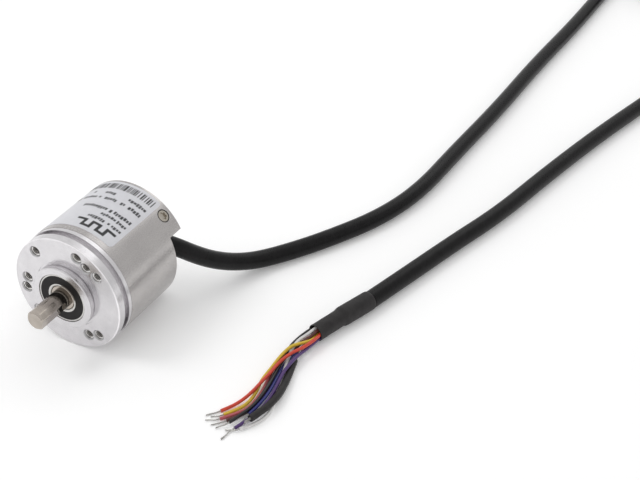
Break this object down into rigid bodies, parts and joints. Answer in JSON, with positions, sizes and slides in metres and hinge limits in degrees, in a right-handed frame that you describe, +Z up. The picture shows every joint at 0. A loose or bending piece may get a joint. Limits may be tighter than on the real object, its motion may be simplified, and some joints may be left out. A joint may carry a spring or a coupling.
{
  "type": "rotary encoder",
  "caption": "Round optical rotary encoder with a flatted shaft, a servo-groove flange with a centring collar and tapped holes, and a side cable that ends in loose coloured wires.",
  "frame": {"origin": "on the shaft's axis, at the flange's mounting face", "axes": "the shaft points along -Y, the cable leaves towards +X, and +Z is up with the encoder lying on its side"},
  "size_m": [0.1529, 0.3914, 0.0371],
  "materials": {
    "flange_aluminium": "turned and clear anodised, light grey with bright edges",
    "housing_metal": "fine matte blasted grey",
    "cap_aluminium": "turned",
    "screw_steel": "machined",
    "seal_rubber": "smooth black",
    "label_film": "white printed film",
    "shaft_steel": "ground stainless, satin",
    "spring_steel": "rolled",
    "bearing_steel": "ground and polished",
    "bearing_seal": "moulded black",
    "bearing_cage": "moulded",
    "hub_brass": "turned",
    "disc_glass": "polished with dark code tracks",
    "bracket_plastic": "moulded black",
    "led_lens": "clear tinted epoxy",
    "tinned_metal": "tinned",
    "mask_glass": "polished with opaque slits",
    "chip_plastic": "moulded black",
    "standoff_brass": "turned",
    "board_laminate": "green solder mask",
    "capacitor_ceramic": "ceramic with tinned ends",
    "connector_plastic": "moulded ivory",
    "core_insulation": "extruded, eight colours",
    "gland_rubber": "moulded black",
    "cable_jacket": "extruded black, satin",
    "tie_fabric": "woven hook-and-loop band",
    "shrink_black": "black shrink tube, matte",
    "insulation_black": "extruded black",
    "insulation_white": "extruded white",
    "insulation_brown": "extruded brown",
    "insulation_yellow": "extruded yellow",
    "insulation_red": "extruded red",
    "insulation_violet": "extruded violet",
    "insulation_blue": "extruded blue",
    "insulation_pink": "extruded pink"
  },
  "bodies": {
    "encoder_body": {"front_flange": "flange_aluminium", "housing_sleeve": "housing_metal", "rear_cap": "cap_aluminium", "rear_cap_screws": "screw_steel", "housing_seal": "seal_rubber", "label": "label_film", "wave_spring": "spring_steel", "front_bearing_outer_ring": "bearing_steel", "front_bearing_seals": "bearing_seal", "rear_bearing_outer_ring": "bearing_steel", "rear_bearing_seals": "bearing_seal", "emitter_bracket": "bracket_plastic", "emitter_led": "led_lens", "led_pins": "tinned_metal", "sensor_mask": "mask_glass", "sensor_chip": "chip_plastic", "board_standoffs": "standoff_brass", "circuit_board": "board_laminate", "board_screws": "screw_steel", "processor_chip": "chip_plastic", "capacitors": "capacitor_ceramic", "board_connector": "connector_plastic", "inner_cores": "core_insulation", "cable_gland": "gland_rubber", "cable_near": "cable_jacket", "cable_coil": "cable_jacket", "cable_far": "cable_jacket", "coil_tie": "tie_fabric", "heat_shrink_sleeve": "shrink_black", "wire_black": "insulation_black", "wire_white": "insulation_white", "wire_brown": "insulation_brown", "wire_yellow": "insulation_yellow", "wire_red": "insulation_red", "wire_violet": "insulation_violet", "wire_blue": "insulation_blue", "wire_pink": "insulation_pink", "drain_wire": "tinned_metal", "drain_wire_sleeve": "shrink_black", "wire_tips": "tinned_metal"},
    "rotor": {"shaft": "shaft_steel", "retaining_ring": "spring_steel", "front_bearing_inner_ring": "bearing_steel", "rear_bearing_inner_ring": "bearing_steel", "disc_hub": "hub_brass", "hub_set_screw": "screw_steel", "code_disc": "disc_glass"},
    "front_ball_set": {"front_bearing_cage": "bearing_cage", "front_bearing_balls": "bearing_steel"},
    "rear_ball_set": {"rear_bearing_cage": "bearing_cage", "rear_bearing_balls": "bearing_steel"}
  },
  "joints": [
    {"name": "shaft_spin", "type": "hinge", "parent": "encoder_body", "child": "rotor", "pos_m": [0, 0, 0], "axis": [0, -1, 0], "continuous": true},
    {"name": "front_cage_orbit", "type": "hinge", "parent": "encoder_body", "child": "front_ball_set", "pos_m": [0, 0.0003, 0], "axis": [0, -1, 0], "continuous": true},
    {"name": "rear_cage_orbit", "type": "hinge", "parent": "encoder_body", "child": "rear_ball_set", "pos_m": [0, 0.0123, 0], "axis": [0, -1, 0], "continuous": true}
  ],
  "couplings": [
    {"joint": "front_cage_orbit", "follows": "shaft_spin", "ratio": 0.40165},
    {"joint": "rear_cage_orbit", "follows": "shaft_spin", "ratio": 0.40165}
  ]
}
